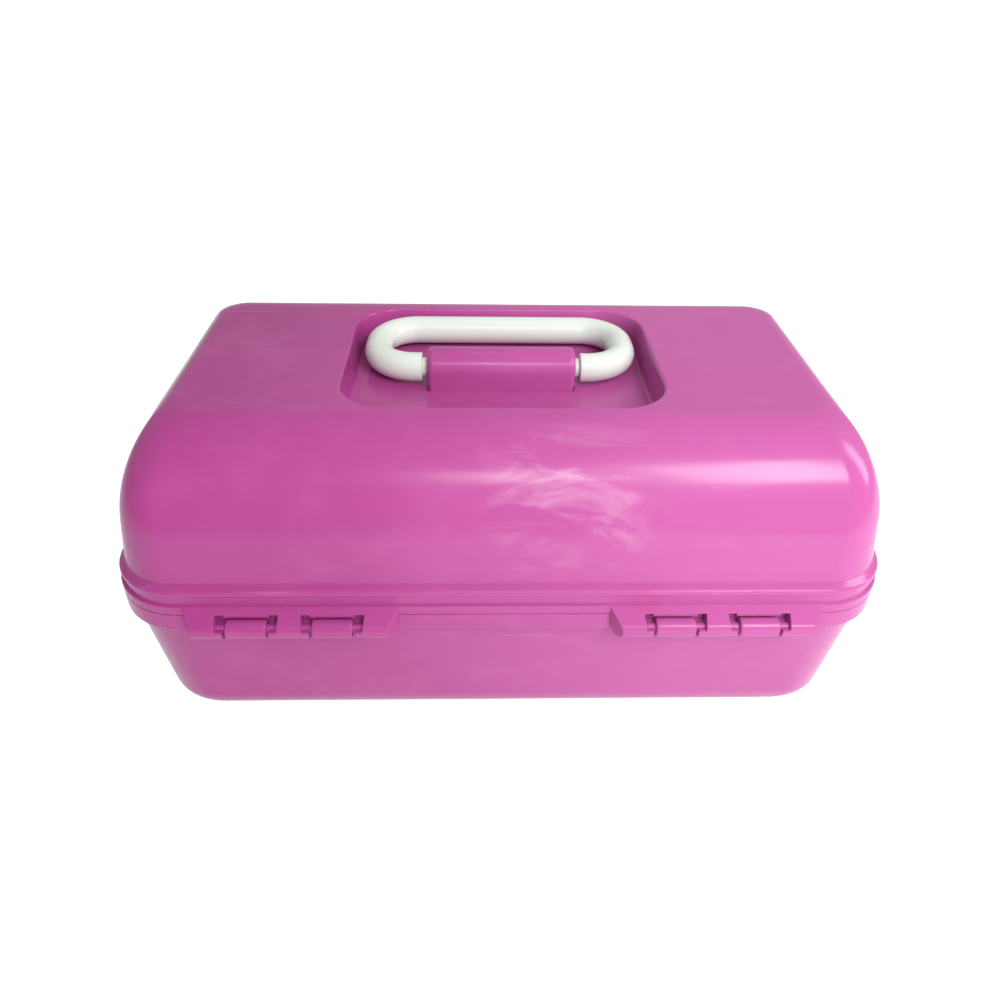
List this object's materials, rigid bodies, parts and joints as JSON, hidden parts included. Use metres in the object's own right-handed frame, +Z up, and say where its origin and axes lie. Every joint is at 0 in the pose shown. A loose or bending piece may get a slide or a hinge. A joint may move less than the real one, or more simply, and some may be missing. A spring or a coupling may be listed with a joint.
{
  "type": "makeup storage case",
  "caption": "Pink moulded makeup case with a domed lid, a white folding handle in a recess, a mirror and a lift-up tray.",
  "frame": {"origin": "middle of the bottom, on the surface the case stands on", "axes": "+X along the width, +Y towards the hinges at the back, +Z up"},
  "size_m": [0.33, 0.2226, 0.154],
  "materials": {
    "case_plastic": "glossy",
    "handle_plastic": "glossy",
    "inner_plastic": "satin",
    "arm_plastic": "satin",
    "mirror_glass": "polished",
    "rivet_metal": "satin"
  },
  "bodies": {
    "base": {"base_shell": "case_plastic", "base_rivets": "rivet_metal"},
    "lid": {"lid_shell": "case_plastic", "mirror": "mirror_glass", "mirror_frame": "inner_plastic", "mirror_screws": "rivet_metal", "link_rivets": "rivet_metal"},
    "handle": {"handle": "handle_plastic"},
    "latch": {"latch": "handle_plastic"},
    "front_arms": {"front_arm_left": "arm_plastic", "front_arm_right": "arm_plastic"},
    "rear_arms": {"rear_arm_left": "arm_plastic", "rear_arm_right": "arm_plastic", "crank_rivets": "rivet_metal"},
    "tray": {"tray": "inner_plastic", "tray_rivets": "rivet_metal"},
    "lid_links": {"lid_link_left": "arm_plastic", "lid_link_right": "arm_plastic"}
  },
  "joints": [
    {"name": "lid_hinge", "type": "hinge", "parent": "base", "child": "lid", "pos_m": [0, 0.10735, 0.079], "axis": [-1, 0, 0], "range_deg": [0, 105]},
    {"name": "handle_swing", "type": "hinge", "parent": "lid", "child": "handle", "pos_m": [0, 0, 0.1445], "axis": [-1, 0, 0], "range_deg": [0, 180]},
    {"name": "latch_swing", "type": "hinge", "parent": "lid", "child": "latch", "pos_m": [0, -0.10785, 0.089], "axis": [-1, 0, 0], "range_deg": [-12, 90]},
    {"name": "front_arm_swing", "type": "hinge", "parent": "base", "child": "front_arms", "pos_m": [0, -0.02, 0.056], "axis": [-1, 0, 0], "range_deg": [0, 105]},
    {"name": "rear_arm_swing", "type": "hinge", "parent": "base", "child": "rear_arms", "pos_m": [0, 0.015, 0.068], "axis": [-1, 0, 0], "range_deg": [0, 105]},
    {"name": "tray_level", "type": "hinge", "parent": "front_arms", "child": "tray", "pos_m": [0, -0.08, 0.056], "axis": [-1, 0, 0], "range_deg": [-105, 0]},
    {"name": "link_level", "type": "hinge", "parent": "lid", "child": "lid_links", "pos_m": [0, 0.07135, 0.091], "axis": [-1, 0, 0], "range_deg": [-105, 0]}
  ],
  "couplings": [
    {"joint": "front_arm_swing", "follows": "lid_hinge", "ratio": 1},
    {"joint": "rear_arm_swing", "follows": "lid_hinge", "ratio": 1},
    {"joint": "tray_level", "follows": "lid_hinge", "ratio": -1},
    {"joint": "link_level", "follows": "lid_hinge", "ratio": -1}
  ]
}
